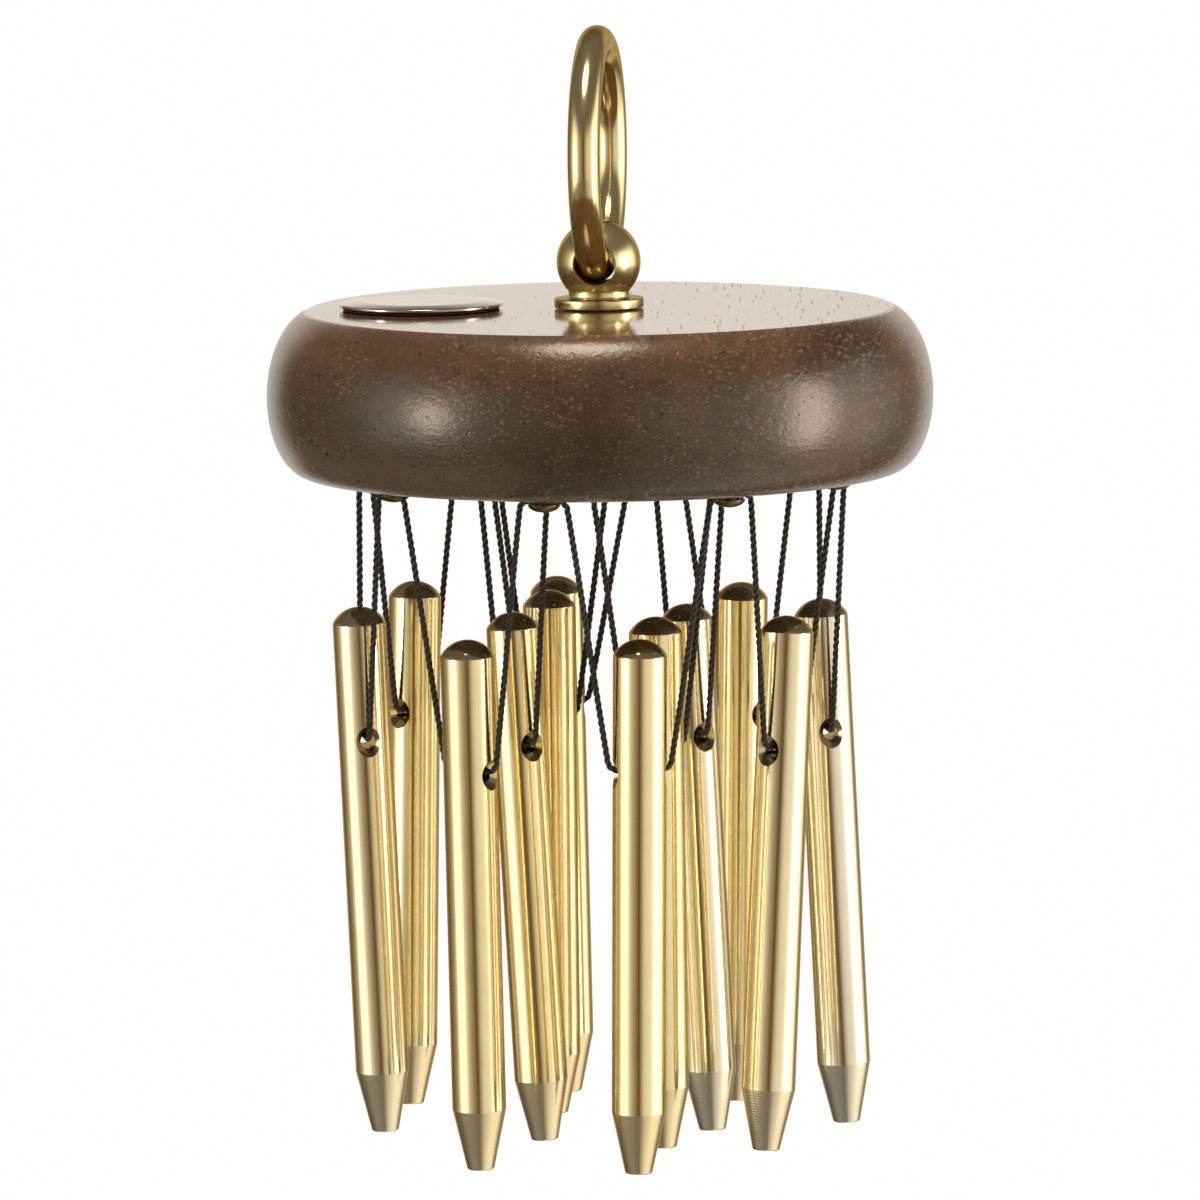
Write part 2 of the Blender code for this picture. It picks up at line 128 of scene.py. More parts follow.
# Finer detail
SHARP_ANGLE = radians(30)
EDGE_ROUND = 0.00012
PEG_SHOULDER_ROUND = 0.00015
PEG_TIP_ROUND = 0.00035
FLANGE_ROUND = 0.00018
NECK_ROUND = 0.0004
HOLE_MOUTH_FLARE = 0.0001
FLAT_MARGIN = 0.0003
BADGE_BEVEL = 0.0004
BADGE_ROLL = 0.0030
BADGE_EDGE_ROUND = 0.00015
BADGE_CROWN_ROUND = 0.0010
CORD_STEP = 0.0002
CORD_PLIES = 3
CORD_LAY = 0.0034
PLY_SHARE = 0.57
SLOT_WIDTH = 0.0007
SLOT_DEPTH = 0.0006
SLOT_TURN = 2.4
THREAD_PITCH = 0.0008
THREAD_DEPTH = 0.0003
THREAD_STEEPNESS = 2.6

# Sides and steps of the finer meshes
FILLET_STEPS = 4
RING_SIDES = 160
WIRE_SIDES = 36
EYE_SIDES = 96
EYE_HOLE_SIDES = 72
BALL_STEPS = 40
WASHER_SIDES = 72
NUT_SIDES = 72
DISC_SIDES = 192
DISC_STEPS = 28
PILOT_SIDES = 24
BADGE_SIDES = 128
SCREW_SIDES = 48
SCREW_HEAD_STEPS = 10
THREAD_ROWS = 6
PEG_SIDES = 96
DOME_STEPS = 20
CROSS_HOLE_SIDES = 64
PLY_SIDES = 8
FLOOR_SIDES = 96

# Heights and radii that follow
DISC_THICKNESS = DISC_TOP_Z - UNDERSIDE_Z
STUD_BORE = STUD_RADIUS + FIT_GAP
CORD_Z = UNDERSIDE_Z - FIT_GAP - CORD_RADIUS
HEAD_SEAT_Z = CORD_Z - CORD_RADIUS - FIT_GAP
CORD_WRAP_RADIUS = SHANK_RADIUS + FIT_GAP + CORD_RADIUS
PLY_RADIUS = PLY_SHARE * CORD_RADIUS
RING_SAG = RING_CENTRE_RADIUS - sqrt(RING_CENTRE_RADIUS**2 - BALL_RADIUS**2 + RING_WIRE_RADIUS**2)
BALL_HOLE_RADIUS = RING_WIRE_RADIUS + RING_SAG / 2 + RING_RUNNING_GAP
PEG_CORD_SEAT = PEG_HOLE_RADIUS * cos(pi / PEG_HOLE_SIDES) - CORD_RADIUS - FIT_GAP
PEG_APEX = PEG_HOLE_DEPTH - PEG_CORD_SEAT
PEG_FOOT = PEG_APEX - PEG_LENGTH
HOLE_ROOM_ABOVE = 1.5 * PEG_COUNTERSINK_RADIUS
HOLE_ROOM_BELOW = 2 * PEG_COUNTERSINK_RADIUS

# The camera, fitted to the photograph
CAMERA_ELEVATION = radians(6.662)
CAMERA_ROLL = radians(-0.62)
CAMERA_DISTANCE = 1.852441
CAMERA_SIDE = -0.00034
CAMERA_AIM_DROP = 0.0440647
CAMERA_TARGET_Z = DISC_TOP_Z - CAMERA_AIM_DROP
CAMERA_LENS_MM = 369.7

# Soft boxes: azimuth and elevation in degrees, distance, width, height and brightness
LAMPS = {
    "left_box": (-59, 2, 0.80, 0.17, 0.28, 12.5),
    "right_box": (76, -1, 0.80, 0.24, 0.60, 9.5),
    "top_box": (-12, 76, 0.42, 0.14, 0.19, 15.5),
}

# Reflected brightness at bearings round the horizon, in degrees from the front, positive to the right
AROUND = (
    (-180, 1.11), (-151, 1.11), (-142, 0.24), (-129, 0.22), (-104, 0.40), (-91, 0.70), (-80, 1.80),
    (-56, 1.80), (-43, 0.80), (-26, 0.45), (-13, 0.31), (-2, 0.10), (4, 0.22), (13, 0.55), (26, 0.85),
    (40, 0.95), (55, 1.05), (66, 1.80), (106, 1.80), (119, 0.90), (130, 0.40), (141, 0.32), (151, 1.11),
    (180, 1.11),
)

# The same below the horizon
LOW_AROUND = (
    (-180, 1.00), (-163, 1.00), (-153, 0.12), (-110, 0.14), (-70, 0.28), (-30, 0.25), (0, 0.18), (10, 0.26),
    (24, 0.58), (45, 0.82), (66, 1.10), (100, 1.15), (118, 0.60), (132, 0.18), (142, 0.18), (152, 1.00),
    (180, 1.00),
)

# Brightness overhead in reflections, then the even fill and the sky's light on what isn't polished
HIGH = 0.16
FILL = 0.13
SKY = 1.10

# Elevations over which the low and the overhead light come in, and levels from warm shade to white
LOW_EDGE = (radians(-16), radians(-24))
HIGH_EDGE = (radians(6), radians(36))
SHADE_LEVELS = (0.05, 0.75)

# The floor's depth below the pegs, and its radius
FLOOR_DROP = 0.60
FLOOR_RADIUS = 0.90

# Colours
GOLD = (0.86, 0.74, 0.41)
PALE_GOLD = (0.82, 0.78, 0.63)
BRASS_EDGE = (0.36, 0.28, 0.17, 1)
# Painted shade: the brown that the peg domes under the disc are blended towards
DOME_PAINTED_SHADE = (0.30, 0.22, 0.11)
CONE_GOLD = (0.86, 0.72, 0.41)
RING_GOLD = (0.80, 0.69, 0.37)
BRONZE = (0.18, 0.15, 0.09)
# Painted shade: dull brown for the brass inside the ball's bore, standing in for brass in shadow
BORE_PAINTED_SHADE = (0.42, 0.28, 0.12)
NICKEL = (0.52, 0.49, 0.47)
NICKEL_EDGE = (0.88, 0.87, 0.88, 1)
WOOD_DARK = (0.061, 0.041, 0.022)
WOOD_RED = (0.108, 0.055, 0.028)
# Pale fleck colour, also the painted light low on the left of the belly
WOOD_FLECK_AND_PAINTED_LIGHT = (0.170, 0.122, 0.080)
WOOD_PORE = (0.018, 0.011, 0.007)
CORD_BLACK = (0.022, 0.020, 0.017)
# Painted sheen: the grey painted on some cord fibres
CORD_SHEEN_GREY = (0.075, 0.070, 0.058)
GLUE = (0.030, 0.028, 0.026)
BACKDROP = (0.996, 0.996, 0.994)
FLOOR_WHITE = (0.86, 0.86, 0.85)
WARM_LAMP = (1.0, 0.82, 0.67)
WARM_WHITE = (1.0, 0.93, 0.84)
WARM_SHADE = (1.0, 0.66, 0.32)

# How far each peg's plating leans from gold to pale gold
PEG_TONES = {
    "outer": (0.80, 0.10, 0.10, 0.15, 0.35, 0.10, 0.00, 0.35),
    "inner": (0.60, 0.10, 0.20, 0.10),
}

# Noise patterns: scale per millimetre, detail and roughness, with defaults for what is left out
GROWTH_NOISE = (0.16, 5.0, 0.72)
MOTTLE_NOISE = (0.4, 4.0, 0.7)
WRINKLE_NOISE = (1.5, 3.0, 0.6)
SPECKLE_NOISE = (2.1,)
CLUSTER_NOISE = (0.5,)
DRIFT_NOISE = (0.07,)
SMEAR_NOISE = (0.22, 3.0)
HAIR_NOISE = (6.0, 4.0, 0.7)
PEG_SMEAR_NOISE = (0.20, 3.0)
PEG_HAIR_NOISE = (5.0, 3.0, 0.6)
FIBRE_NOISE = (7.0, 3.0, 0.7)
SPUN_NOISE = (3.0, 3.0, 0.7)
BADGE_SMEAR_NOISE = (0.25, 3.0)
FOAM_NOISE = (4.0, 3.0)

# Stretches of those patterns along X, Y and Z
GRAIN_STRETCH = (1, 0.07, 1)
BAND_STRETCH = (0.6, 1, 1)
FLECK_STRETCH = (0.75, 1, 1)
STROKE_STRETCH = (2.0, 0.07, 0)
PEG_HAIR_STRETCH = (1, 1, 0.04)

# Wood: where a darker patch lies along X in millimetres, and how fast flecks thicken along X
DARK_PATCH_X = 37
DRIFT_RIGHT = 0.004

# Wood: spans of the disc's own X or Z in millimetres, or of a noise, and the levels at their two ends
TOP_FACE = (-0.25, -0.05)
# Painted light in part: the wood turns redder and brighter upwards and to the right, towards the lamps
RUDDY_AND_PAINTED_LIGHT_UP = (-12, -3, -0.10, 0.14)
RUDDY_AND_PAINTED_LIGHT_RIGHT = (10, 40, -0.04, 0.12)
BANDS_AND_PAINTED_LIGHT = (0.36, 0.72)
DARK_PATCH_WIDTH = (3, 11, 0.55, 0.0)
DARK_PATCH_UP = (-14, -6)
MOTTLE = (0.30, 0.70, 0.34, 0.0)
DIM_LEFT = (-42, -5, 0.12, 0.0)
# Painted light: the low left of the belly is paled, as if lit from below left
PAINTED_LIGHT_DOWN = (-21, -15, 0.40, 0.0)
PAINTED_LIGHT_LEFT = (-22, -8, 1.0, 0.0)
SPECKLE = (0.50, 0.72)
CLUSTER = (0.35, 0.62, 0.30, 0.85)
DRIFT = (0.28, 0.58, 0.15, 0.80)
STROKE_RIGHT = (-30, 25, 0.14, 0.38)

# Wood: scale, smallest size, largest size and softness of its dots. STROKE_RIGHT is the strokes' largest
BRIGHT_DOTS = (1.4, -0.20, 0.28, 0.16)
PORE_DOTS = (0.85, -0.45, 0.25, 0.06)
PORE_SHIFT = (31, 7, 17)
STROKE_SCALE = 1.2
STROKE_SMALLEST = -0.42
STROKE_SOFT = 0.12

# Wood: darkness of pores, roughness and relief on the belly and on the top, and what dots add to them
PORE_DARKNESS = 0.6
SATIN = (0.25, 0.09)
LACQUER = (1.0, 0.04)
PIT_ROUGHNESS = 0.16
PORE_RELIEF = -0.5
FLECK_RELIEF = 0.2

# Metal: roughness and strength of hairlines, then how smears dim and roughen it
RING_FINISH = (0.13, 0.04)
EYE_FINISH = (0.19, 0.08)
FASTENER_FINISH = (0.30, 0.10)
SMEAR = (0.35, 0.75)
SMEAR_DIM = 0.88
SMEAR_ROUGHNESS = 0.06
PEG_SMEAR = (0.4, 0.8)
PEG_SMEAR_DIM = 0.92
PEG_POLISH = (0.05, 0.12)
BADGE_POLISH = (0.08, 0.12)

# Metal: edges of the bore, the cone and the dome in millimetres, and what changes there
BORE_EDGE = (0.02, 0.08)
BORE_IOR = 1.05
CONE_EDGE = 0.05
CONE_ROUGHNESS = 0.06
CONE_RELIEF = 1.6
CONE_TURNING = {"Scale": 0.8, "Distortion": 1.5, "Detail": 3.0}
# The dome's span in millimetres and the share of painted brown shade it takes
DOME_BELOW = 0.10
DOME_ABOVE = 0.50
DOME_PAINTED_SHADE_SHARE = 0.45
PEG_HAIR_RELIEF = 0.04

# Cord fibres painted grey as a painted sheen, how much paler the foam's light side is, and depths of relief
FIBRE_SHEEN = (0.45, 0.75)
GLUE_LIGHT = 2
RELIEF = 0.00005
HAIRLINE = 0.00002

# Sockets of a Mix node that mixes colours
MIX_FACTOR = 0
MIX_COLOURS = (6, 7)
MIX_RESULT = 2


def on_circle(radius, angle, z=0.0):
    """A point at a radius and an angle from +X about the chime's axis."""
    return Vector((radius * cos(angle), radius * sin(angle), z))


def frame_of(x_axis, z_axis, origin):
    """A placement whose X and Z run along two square directions."""
    y_axis = z_axis.cross(x_axis)
    return Matrix.Translation(origin) @ Matrix((x_axis, y_axis, z_axis)).transposed().to_4x4()


# Camera, floor and light


def make_camera():
    """The photograph's view."""
    data = bpy.data.cameras.new("camera")
    data.lens = CAMERA_LENS_MM
    camera = bpy.data.objects.new("camera", data)
    bpy.context.scene.collection.objects.link(camera)
    ahead = Vector((0, cos(CAMERA_ELEVATION), -sin(CAMERA_ELEVATION)))
    right = Vector((1, 0, 0))
    top = right.cross(ahead)
    rolled = right * cos(CAMERA_ROLL) + top * sin(CAMERA_ROLL)
    target = Vector((CAMERA_SIDE, 0, CAMERA_TARGET_Z))
    camera.matrix_world = frame_of(rolled, -ahead, target - CAMERA_DISTANCE * ahead)
    bpy.context.scene.camera = camera


def bearing(azimuth, elevation):
    """A direction from the chime, its azimuth taken from the front, positive to the right."""
    return Vector(
        (sin(azimuth) * cos(elevation), -cos(azimuth) * cos(elevation), sin(elevation))
    )


def make_lamp(name, azimuth, elevation, distance, width, height, radiance):
    """A warm oval soft box of a given brightness that faces the middle of the chime."""
    data = bpy.data.lights.new(name, "AREA")
    data.shape = "ELLIPSE"
    data.size = width
    data.size_y = height
    data.color = WARM_LAMP
    data.energy = radiance * pi * pi / 4 * width * height
    lamp = bpy.data.objects.new(name, data)
    bpy.context.scene.collection.objects.link(lamp)
    towards = bearing(radians(azimuth), radians(elevation))
    lamp.location = Vector((0, 0, CAMERA_TARGET_Z)) + distance * towards
    lamp.rotation_mode = "QUATERNION"
    lamp.rotation_quaternion = (-towards).to_track_quat("-Z", "Y")


def add_node(tree, kind, inputs=None, **settings):
    """A shader node with its settings, and its inputs set or linked."""
    made = tree.nodes.new("ShaderNode" + kind)
    for key, value in settings.items():
        setattr(made, key, value)
    for key, value in (inputs or {}).items():
        if isinstance(value, bpy.types.NodeSocket):
            tree.links.new(value, made.inputs[key])
        else:
            made.inputs[key].default_value = value
    return made


def maths(tree, operation, *values):
    """A Math node's result."""
    return add_node(tree, "Math", dict(enumerate(values)), operation=operation).outputs[0]


def fade(tree, value, start, end, low=0.0, high=1.0):
    """A smooth step from low to high as the value goes from start to end."""
    inputs = {"Value": value, "From Min": start, "From Max": end, "To Min": low, "To Max": high}
    return add_node(tree, "MapRange", inputs, interpolation_type="SMOOTHSTEP").outputs["Result"]


def ease(tree, factor, low, high):
    """A smooth change from low to high as a factor goes from zero to one."""
    return fade(tree, factor, 0.0, 1.0, low, high)


def vector_maths(tree, operation, *values):
    """A Vector Math node's result, a number for a length and otherwise a vector."""
    made = add_node(tree, "VectorMath", dict(enumerate(values)), operation=operation)
    return made.outputs["Value" if operation == "LENGTH" else "Vector"]


def blend(tree, factor, first, second):
    """A mix of two colours."""
    inputs = {MIX_FACTOR: factor}
    for socket, colour in zip(MIX_COLOURS, (first, second)):
        inputs[socket] = colour if isinstance(colour, bpy.types.NodeSocket) else (*colour, 1)
    return add_node(tree, "Mix", inputs, data_type="RGBA").outputs[MIX_RESULT]


def bearing_ramp(tree, azimuth, stops):
    """Brightness at an azimuth, from the levels at a few bearings."""
    turn = maths(tree, "MULTIPLY_ADD", azimuth, 1 / (2 * pi), 0.5)
    ramp = add_node(tree, "ValToRGB", {0: turn})
    elements = ramp.color_ramp.elements
    while len(elements) < len(stops):
        elements.new(0.5)
    for element, (degrees_round, level) in zip(elements, stops):
        element.position = 0.5 + degrees_round / 360
        element.color = (level, level, level, 1)
    return ramp.outputs[0]


def make_world():
    """A white backdrop, with the studio's darker sides for polished metal and an even fill."""
    world = bpy.data.worlds.new("studio")
    bpy.context.scene.world = world
    world.use_nodes = True
    tree = world.node_tree
    tree.nodes.clear()
    way = add_node(tree, "TexCoord").outputs["Generated"]
    axes = add_node(tree, "SeparateXYZ", {0: way}).outputs
    ahead = maths(tree, "MULTIPLY", axes["Y"], -1.0)
    azimuth = maths(tree, "ARCTAN2", axes["X"], ahead)
    elevation = maths(tree, "ARCSINE", axes["Z"])
    low = fade(tree, elevation, *LOW_EDGE)
    high = fade(tree, elevation, *HIGH_EDGE)
    around = bearing_ramp(tree, azimuth, AROUND)
    below = bearing_ramp(tree, azimuth, LOW_AROUND)
    gleam = ease(tree, high, ease(tree, low, around, below), HIGH)
    ray = add_node(tree, "LightPath").outputs
    soft = maths(tree, "MULTIPLY_ADD", high, SKY, FILL)
    light = ease(tree, ray["Is Glossy Ray"], soft, gleam)
    seen = maths(tree, "MAXIMUM", ray["Is Camera Ray"], ray["Is Transmission Ray"])
    strength = ease(tree, seen, light, 1.0)
    bright = maths(tree, "MAXIMUM", fade(tree, gleam, *SHADE_LEVELS), maths(tree, "MAXIMUM", high, low))
    colour = blend(tree, seen, blend(tree, bright, WARM_SHADE, WARM_WHITE), BACKDROP)
    background = add_node(tree, "Background", {"Color": colour, "Strength": strength})
    out = add_node(tree, "OutputWorld")
    tree.links.new(background.outputs[0], out.inputs["Surface"])


def make_floor():
    """A pale round floor well below the pegs, fading into the backdrop at its edge."""
    bm = bmesh.new()
    bmesh.ops.create_circle(bm, cap_ends=True, segments=FLOOR_SIDES, radius=FLOOR_RADIUS)
    mesh = bpy.data.meshes.new("floor")
    bm.to_mesh(mesh)
    bm.free()
    floor = bpy.data.objects.new("floor", mesh)
    floor.location.z = CAD_BOX[0].z - FLOOR_DROP
    floor.visible_glossy = False
    bpy.context.scene.collection.objects.link(floor)
    material = bpy.data.materials.new("floor")
    material.use_nodes = True
    tree = material.node_tree
    tree.nodes.clear()
    place = add_node(tree, "TexCoord").outputs["Object"]
    reach = vector_maths(tree, "LENGTH", place)
    edge = fade(tree, reach, FLOOR_RADIUS / 3, FLOOR_RADIUS)
    matt = add_node(tree, "BsdfDiffuse", {"Color": (*FLOOR_WHITE, 1)}).outputs[0]
    white = add_node(tree, "Emission").outputs[0]
    mixed = add_node(tree, "MixShader", {0: edge, 1: matt, 2: white}).outputs[0]
    out = add_node(tree, "OutputMaterial")
    tree.links.new(mixed, out.inputs["Surface"])
    mesh.materials.append(material)


def make_studio():
    """Camera, soft boxes, backdrop and floor."""
    make_camera()
    for name, setting in LAMPS.items():
        make_lamp(name, *setting)
    make_world()
    make_floor()
    bpy.context.scene.view_settings.view_transform = "Standard"


# Materials


def new_material(name, **sockets):
    """A Principled material, its tree and its shader."""
    material = bpy.data.materials.new(name)
    material.use_nodes = True
    shader = material.node_tree.nodes["Principled BSDF"]
    for key, value in sockets.items():
        shader.inputs[key.replace("_", " ").title().replace("Ior", "IOR")].default_value = value
    return material, material.node_tree, shader


def between(first, second, share):
    """A colour part of the way from one to another."""
    return [a + (b - a) * share for a, b in zip(first, second)]


def scaled(colour, share):
    """A colour made darker or lighter."""
    return [c * share for c in colour]


def noise(tree, place, scale, detail=2.0, rough=0.5):
    """A noise value between zero and one."""
    inputs = {"Vector": place, "Scale": scale, "Detail": detail, "Roughness": rough}
    return add_node(tree, "TexNoise", inputs).outputs[0]


def set_bump(tree, shader, height, strength, distance):
    """Small relief from a height value."""
    inputs = {"Height": height, "Strength": strength, "Distance": distance}
    bump = add_node(tree, "Bump", inputs)
    tree.links.new(bump.outputs["Normal"], shader.inputs["Normal"])


def stretched(tree, place, scale, shift=(0, 0, 0)):
    """Coordinates scaled along each axis and shifted."""
    return add_node(tree, "Mapping", {"Vector": place, "Location": shift, "Scale": scale}).outputs[0]


def in_millimetres(tree):
    """An object's own coordinates in millimetres."""
    place = add_node(tree, "TexCoord").outputs["Object"]
    return stretched(tree, place, (MM, MM, MM))


def cells(tree, place, scale):
    """Distance to the nearest scattered point, and a random value for that point."""
    found = add_node(tree, "TexVoronoi", {"Vector": place, "Scale": scale}).outputs
    chance = add_node(tree, "SeparateColor", {0: found["Color"]}).outputs[0]
    return found["Distance"], chance


def dots(tree, place, scale, smallest, largest, soft):
    """Soft round dots scattered at random; a cell whose size comes out below zero stays empty."""
    off, luck = cells(tree, place, scale)
    size = ease(tree, luck, smallest, largest)
    return fade(tree, maths(tree, "SUBTRACT", off, size), -soft, soft, 1.0, 0.0)


def wood_body(tree, axes, grain):
    """The wood's ground colour: growth bands, redder above and right (part painted light), dim in places, painted
    light low left.
    """
    growth = noise(tree, stretched(tree, grain, BAND_STRETCH), *GROWTH_NOISE)
    # Redder above and to the right: part wood tone, part painted light
    ruddy_and_painted_light = maths(tree, "ADD", fade(tree, axes["Z"], *RUDDY_AND_PAINTED_LIGHT_UP), fade(tree, axes["X"], *RUDDY_AND_PAINTED_LIGHT_RIGHT))
    bands = fade(tree, maths(tree, "ADD", growth, ruddy_and_painted_light), *BANDS_AND_PAINTED_LIGHT)
    body = blend(tree, bands, WOOD_DARK, WOOD_RED)
    aside = maths(tree, "ABSOLUTE", maths(tree, "SUBTRACT", axes["X"], DARK_PATCH_X))
    # Darker in a band along X, in the upper part of the belly
    dark_patch = maths(tree, "MULTIPLY", fade(tree, aside, *DARK_PATCH_WIDTH), fade(tree, axes["Z"], *DARK_PATCH_UP))
    mottle = fade(tree, noise(tree, grain, *MOTTLE_NOISE), *MOTTLE)
    dim = maths(tree, "ADD", mottle, maths(tree, "MAXIMUM", dark_patch, fade(tree, axes["X"], *DIM_LEFT)))
    body = blend(tree, dim, body, WOOD_PORE)
    # Painted light: paler low on the left, as if lit from below left
    painted_low_light = maths(tree, "MULTIPLY", fade(tree, axes["Z"], *PAINTED_LIGHT_DOWN), fade(tree, axes["X"], *PAINTED_LIGHT_LEFT))
    return blend(tree, painted_low_light, body, WOOD_FLECK_AND_PAINTED_LIGHT)


def wood_flecks(tree, plain, axes, grain):
    """How strongly each place is flecked, by clustered specks and by single brighter dots."""
    across = stretched(tree, grain, FLECK_STRETCH)
    speckle = fade(tree, noise(tree, across, *SPECKLE_NOISE), *SPECKLE)
    cluster = fade(tree, noise(tree, across, *CLUSTER_NOISE), *CLUSTER)
    bright = dots(tree, across, *BRIGHT_DOTS)
    fine = maths(tree, "MAXIMUM", maths(tree, "MULTIPLY", speckle, cluster), bright)
    drift = maths(tree, "MULTIPLY_ADD", axes["X"], DRIFT_RIGHT, noise(tree, plain, *DRIFT_NOISE))
    return maths(tree, "MULTIPLY", fine, fade(tree, drift, *DRIFT))


def wood_material():
    """Dark open-pored hardwood under lacquer, its grain running front to back."""
    material, tree, shader = new_material("hardwood", ior=1.5)
    plain = in_millimetres(tree)
    axes = add_node(tree, "SeparateXYZ", {0: plain}).outputs
    top = fade(tree, axes["Z"], *TOP_FACE)
    grain = stretched(tree, plain, GRAIN_STRETCH)
    body = wood_body(tree, axes, grain)
    fleck = wood_flecks(tree, plain, axes, grain)
    flecked = blend(tree, fleck, body, WOOD_FLECK_AND_PAINTED_LIGHT)
    pore = dots(tree, stretched(tree, grain, (1, 1, 1), PORE_SHIFT), *PORE_DOTS)
    largest = fade(tree, axes["X"], *STROKE_RIGHT)
    lines = stretched(tree, plain, STROKE_STRETCH)
    stroke = dots(tree, lines, STROKE_SCALE, STROKE_SMALLEST, largest, STROKE_SOFT)
    pitted = maths(tree, "MULTIPLY", stroke, top)
    dark = maths(tree, "MULTIPLY", maths(tree, "MAXIMUM", pore, pitted), PORE_DARKNESS)
    tree.links.new(blend(tree, dark, flecked, WOOD_PORE), shader.inputs["Base Color"])
    satin = ease(tree, top, *SATIN)
    rough = maths(tree, "MULTIPLY_ADD", pitted, PIT_ROUGHNESS, satin)
    tree.links.new(rough, shader.inputs["Roughness"])
    wrinkle = noise(tree, stretched(tree, grain, BAND_STRETCH), *WRINKLE_NOISE)
    sunk = maths(tree, "MULTIPLY_ADD", pore, PORE_RELIEF, wrinkle)
    relief = maths(tree, "ADD", sunk, maths(tree, "MULTIPLY", fleck, FLECK_RELIEF))
    lacquered = maths(tree, "MULTIPLY", relief, ease(tree, top, *LACQUER))
    set_bump(tree, shader, lacquered, strength=1.0, distance=RELIEF)
    return material


def brass_material(name, colour, gloss, scratch, bore=None):
    """Polished brass with faint smears and hairlines, and painted shade inside a bore of a given radius: dull
    brown.
    """
    material, tree, shader = new_material(name, metallic=1.0, specular_tint=BRASS_EDGE, ior=BORE_IOR)
    place = in_millimetres(tree)
    smear = noise(tree, place, *SMEAR_NOISE)
    hair = noise(tree, place, *HAIR_NOISE)
    skin = blend(tree, fade(tree, smear, *SMEAR), colour, scaled(colour, SMEAR_DIM))
    rough = maths(tree, "MULTIPLY_ADD", smear, SMEAR_ROUGHNESS, gloss)
    # Painted shade: inside the bore the brass turns a dull brown that is not metal
    if bore:
        offset = vector_maths(tree, "SUBTRACT", place, (0, 0, MM * BALL_CENTRE_HEIGHT))
        reach = vector_maths(tree, "LENGTH", vector_maths(tree, "CROSS_PRODUCT", offset, RING_AXIS))
        inside = fade(tree, reach, *(MM * bore + margin for margin in BORE_EDGE), 1.0, 0.0)
        skin = blend(tree, inside, skin, BORE_PAINTED_SHADE)
        rough = maths(tree, "MAXIMUM", inside, rough)
        tree.links.new(maths(tree, "SUBTRACT", 1.0, inside), shader.inputs["Metallic"])
    tree.links.new(skin, shader.inputs["Base Color"])
    tree.links.new(rough, shader.inputs["Roughness"])
    set_bump(tree, shader, hair, scratch, HAIRLINE)
    return material


def peg_material(name, tone):
    """Polished brass on the round of a peg with painted brown shade on its dome, turned brass with fine rings on
    its cone.
    """
    material, tree, shader = new_material(name, metallic=1.0, specular_tint=BRASS_EDGE)
    plating = between(GOLD, PALE_GOLD, tone)
    place = in_millimetres(tree)
    height = add_node(tree, "SeparateXYZ", {0: place}).outputs["Z"]
    edge = (PEG_FOOT + PEG_CONE_LENGTH) * MM
    cone = fade(tree, height, edge - CONE_EDGE, edge + CONE_EDGE, 1.0, 0.0)
    smear = noise(tree, place, *PEG_SMEAR_NOISE)
    bright = blend(tree, fade(tree, smear, *PEG_SMEAR), plating, scaled(plating, PEG_SMEAR_DIM))
    # Painted shade: the dome is blended towards brown, standing in for the dark disc it reflects
    brow = (PEG_FOOT + PEG_LENGTH - PEG_DOME_HEIGHT) * MM
    dome = fade(tree, height, brow - DOME_BELOW, brow + DOME_ABOVE, 0.0, DOME_PAINTED_SHADE_SHARE)
    bright = blend(tree, dome, bright, DOME_PAINTED_SHADE)
    skin = blend(tree, cone, bright, between(CONE_GOLD, PALE_GOLD, tone))
    tree.links.new(skin, shader.inputs["Base Color"])
    polish = maths(tree, "MULTIPLY_ADD", smear, *PEG_POLISH)
    rough = maths(tree, "MULTIPLY_ADD", cone, CONE_ROUGHNESS, polish)
    tree.links.new(rough, shader.inputs["Roughness"])
    turning = add_node(tree, "TexWave", {"Vector": place, **CONE_TURNING}, bands_direction="Z")
    rings = maths(tree, "MULTIPLY", turning.outputs["Fac"], maths(tree, "MULTIPLY", cone, CONE_RELIEF))
    hair = noise(tree, stretched(tree, place, PEG_HAIR_STRETCH), *PEG_HAIR_NOISE)
    relief = maths(tree, "ADD", rings, maths(tree, "MULTIPLY", hair, PEG_HAIR_RELIEF))
    set_bump(tree, shader, relief, strength=0.20, distance=HAIRLINE)
    return material


def cord_material():
    """Waxed black thread, with a painted sheen: a little grey on its fibres as if they caught the light."""
    material, tree, shader = new_material("cord", roughness=0.62, sheen_weight=0.05, sheen_roughness=0.5)
    fibre = noise(tree, in_millimetres(tree), *FIBRE_NOISE)
    # Painted sheen: fibres turn grey at random, as if catching the light
    colour = blend(tree, fade(tree, fibre, *FIBRE_SHEEN), CORD_BLACK, CORD_SHEEN_GREY)
    tree.links.new(colour, shader.inputs["Base Color"])
    set_bump(tree, shader, fibre, strength=0.5, distance=RELIEF)
    return material


def badge_material():
    """Bright nickel plate with a faint spun finish."""
    material, tree, shader = new_material("badge_metal", metallic=1.0, specular_tint=NICKEL_EDGE)
    place = in_millimetres(tree)
    reach = vector_maths(tree, "LENGTH", place)
    spun = noise(tree, add_node(tree, "CombineXYZ", {0: reach}).outputs[0], *SPUN_NOISE)
    smear = noise(tree, place, *BADGE_SMEAR_NOISE)
    colour = blend(tree, smear, NICKEL, scaled(NICKEL, SMEAR_DIM))
    tree.links.new(colour, shader.inputs["Base Color"])
    tree.links.new(maths(tree, "MULTIPLY_ADD", smear, *BADGE_POLISH), shader.inputs["Roughness"])
    set_bump(tree, shader, spun, strength=0.10, distance=HAIRLINE)
    return material


